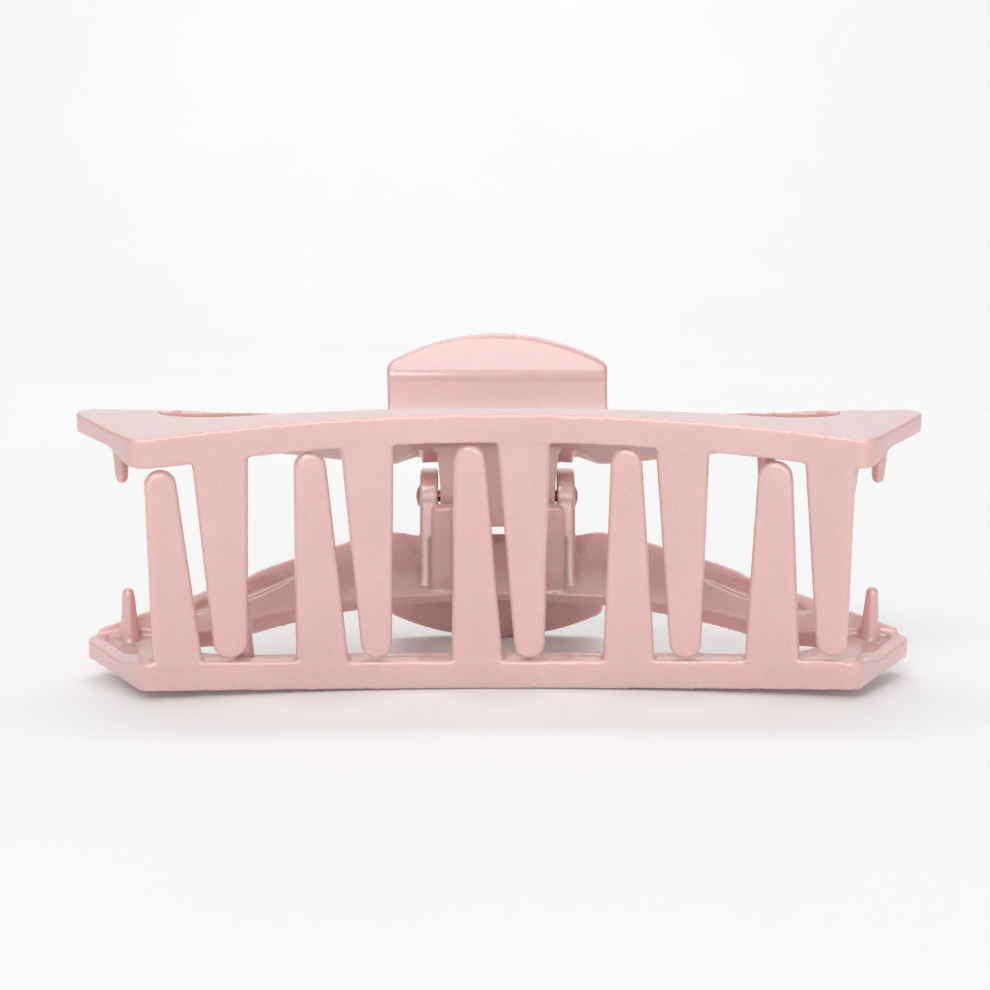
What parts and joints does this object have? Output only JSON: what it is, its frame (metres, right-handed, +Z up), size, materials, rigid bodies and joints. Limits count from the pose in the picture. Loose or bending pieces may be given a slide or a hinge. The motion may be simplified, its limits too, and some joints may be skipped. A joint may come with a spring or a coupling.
{
  "type": "hair claw clip",
  "caption": "Large sprung hair claw clip: curved toothed jaws with open windows and flared finger tabs, hinged on a pin and closed by a torsion spring.",
  "frame": {"origin": "centre of the bounding box in plan, on the table the clip lies on", "axes": "+X along the clip, +Y from the teeth back to the hinge and finger tabs, +Z up from the table"},
  "size_m": [0.1122, 0.0458, 0.0458],
  "materials": {
    "pearl_plastic": "pearlescent gloss",
    "pin_metal": "satin",
    "spring_steel": "drawn wire"
  },
  "bodies": {
    "lower": {"lower_jaw": "pearl_plastic", "pin": "pin_metal", "spring": "spring_steel"},
    "upper": {"upper_jaw": "pearl_plastic"}
  },
  "joints": [
    {"name": "jaw_hinge", "type": "hinge", "parent": "lower", "child": "upper", "pos_m": [0, 0.01432, 0.02232], "axis": [-1, 0, 0], "range_deg": [0, 50], "stiffness_Nm_per_rad": 0.08, "springref_deg": -28.65, "deforming": ["spring"]}
  ]
}
